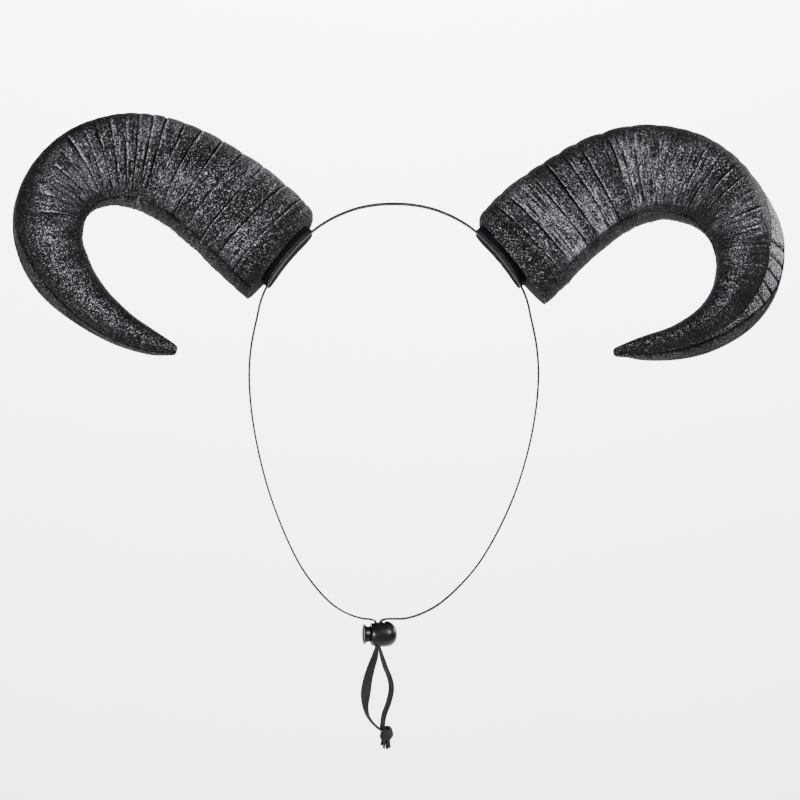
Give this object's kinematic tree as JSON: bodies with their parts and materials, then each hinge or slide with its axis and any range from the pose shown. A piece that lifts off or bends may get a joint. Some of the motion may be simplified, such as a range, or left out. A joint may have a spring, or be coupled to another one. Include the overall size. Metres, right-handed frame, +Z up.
{
  "type": "horn headband",
  "caption": "Costume headband with curled, ribbed foam horns on a flat elastic strap that runs over the crown and under the chin, drawn in by a cord lock above its knotted hanging ends.",
  "frame": {"origin": "middle of the strap's inner face at the crown, where it rests on a head", "axes": "+Z up, +X to the wearer's left, the front faces -Y"},
  "size_m": [0.4293, 0.0699, 0.3525],
  "materials": {
    "horn_foam": "satin grained foam skin",
    "pad": "matt felt",
    "elastic": "matt woven elastic",
    "lock_plastic": "semi-gloss"
  },
  "bodies": {
    "headband": {"elastic_loop": "elastic", "base_pad_left": "pad", "base_pad_right": "pad", "horn_left": "horn_foam", "horn_right": "horn_foam", "lock_barrel": "lock_plastic", "tail_left": "elastic", "tail_right": "elastic", "tail_knot": "elastic"},
    "plunger": {"lock_plunger": "lock_plastic"}
  },
  "joints": [
    {"name": "plunger_push", "type": "slide", "parent": "headband", "child": "plunger", "axis": [0.9903, 0.1392, 0], "range_m": [0, 0.0025], "stiffness_N_per_m": 1500, "springref_m": -0.001}
  ]
}
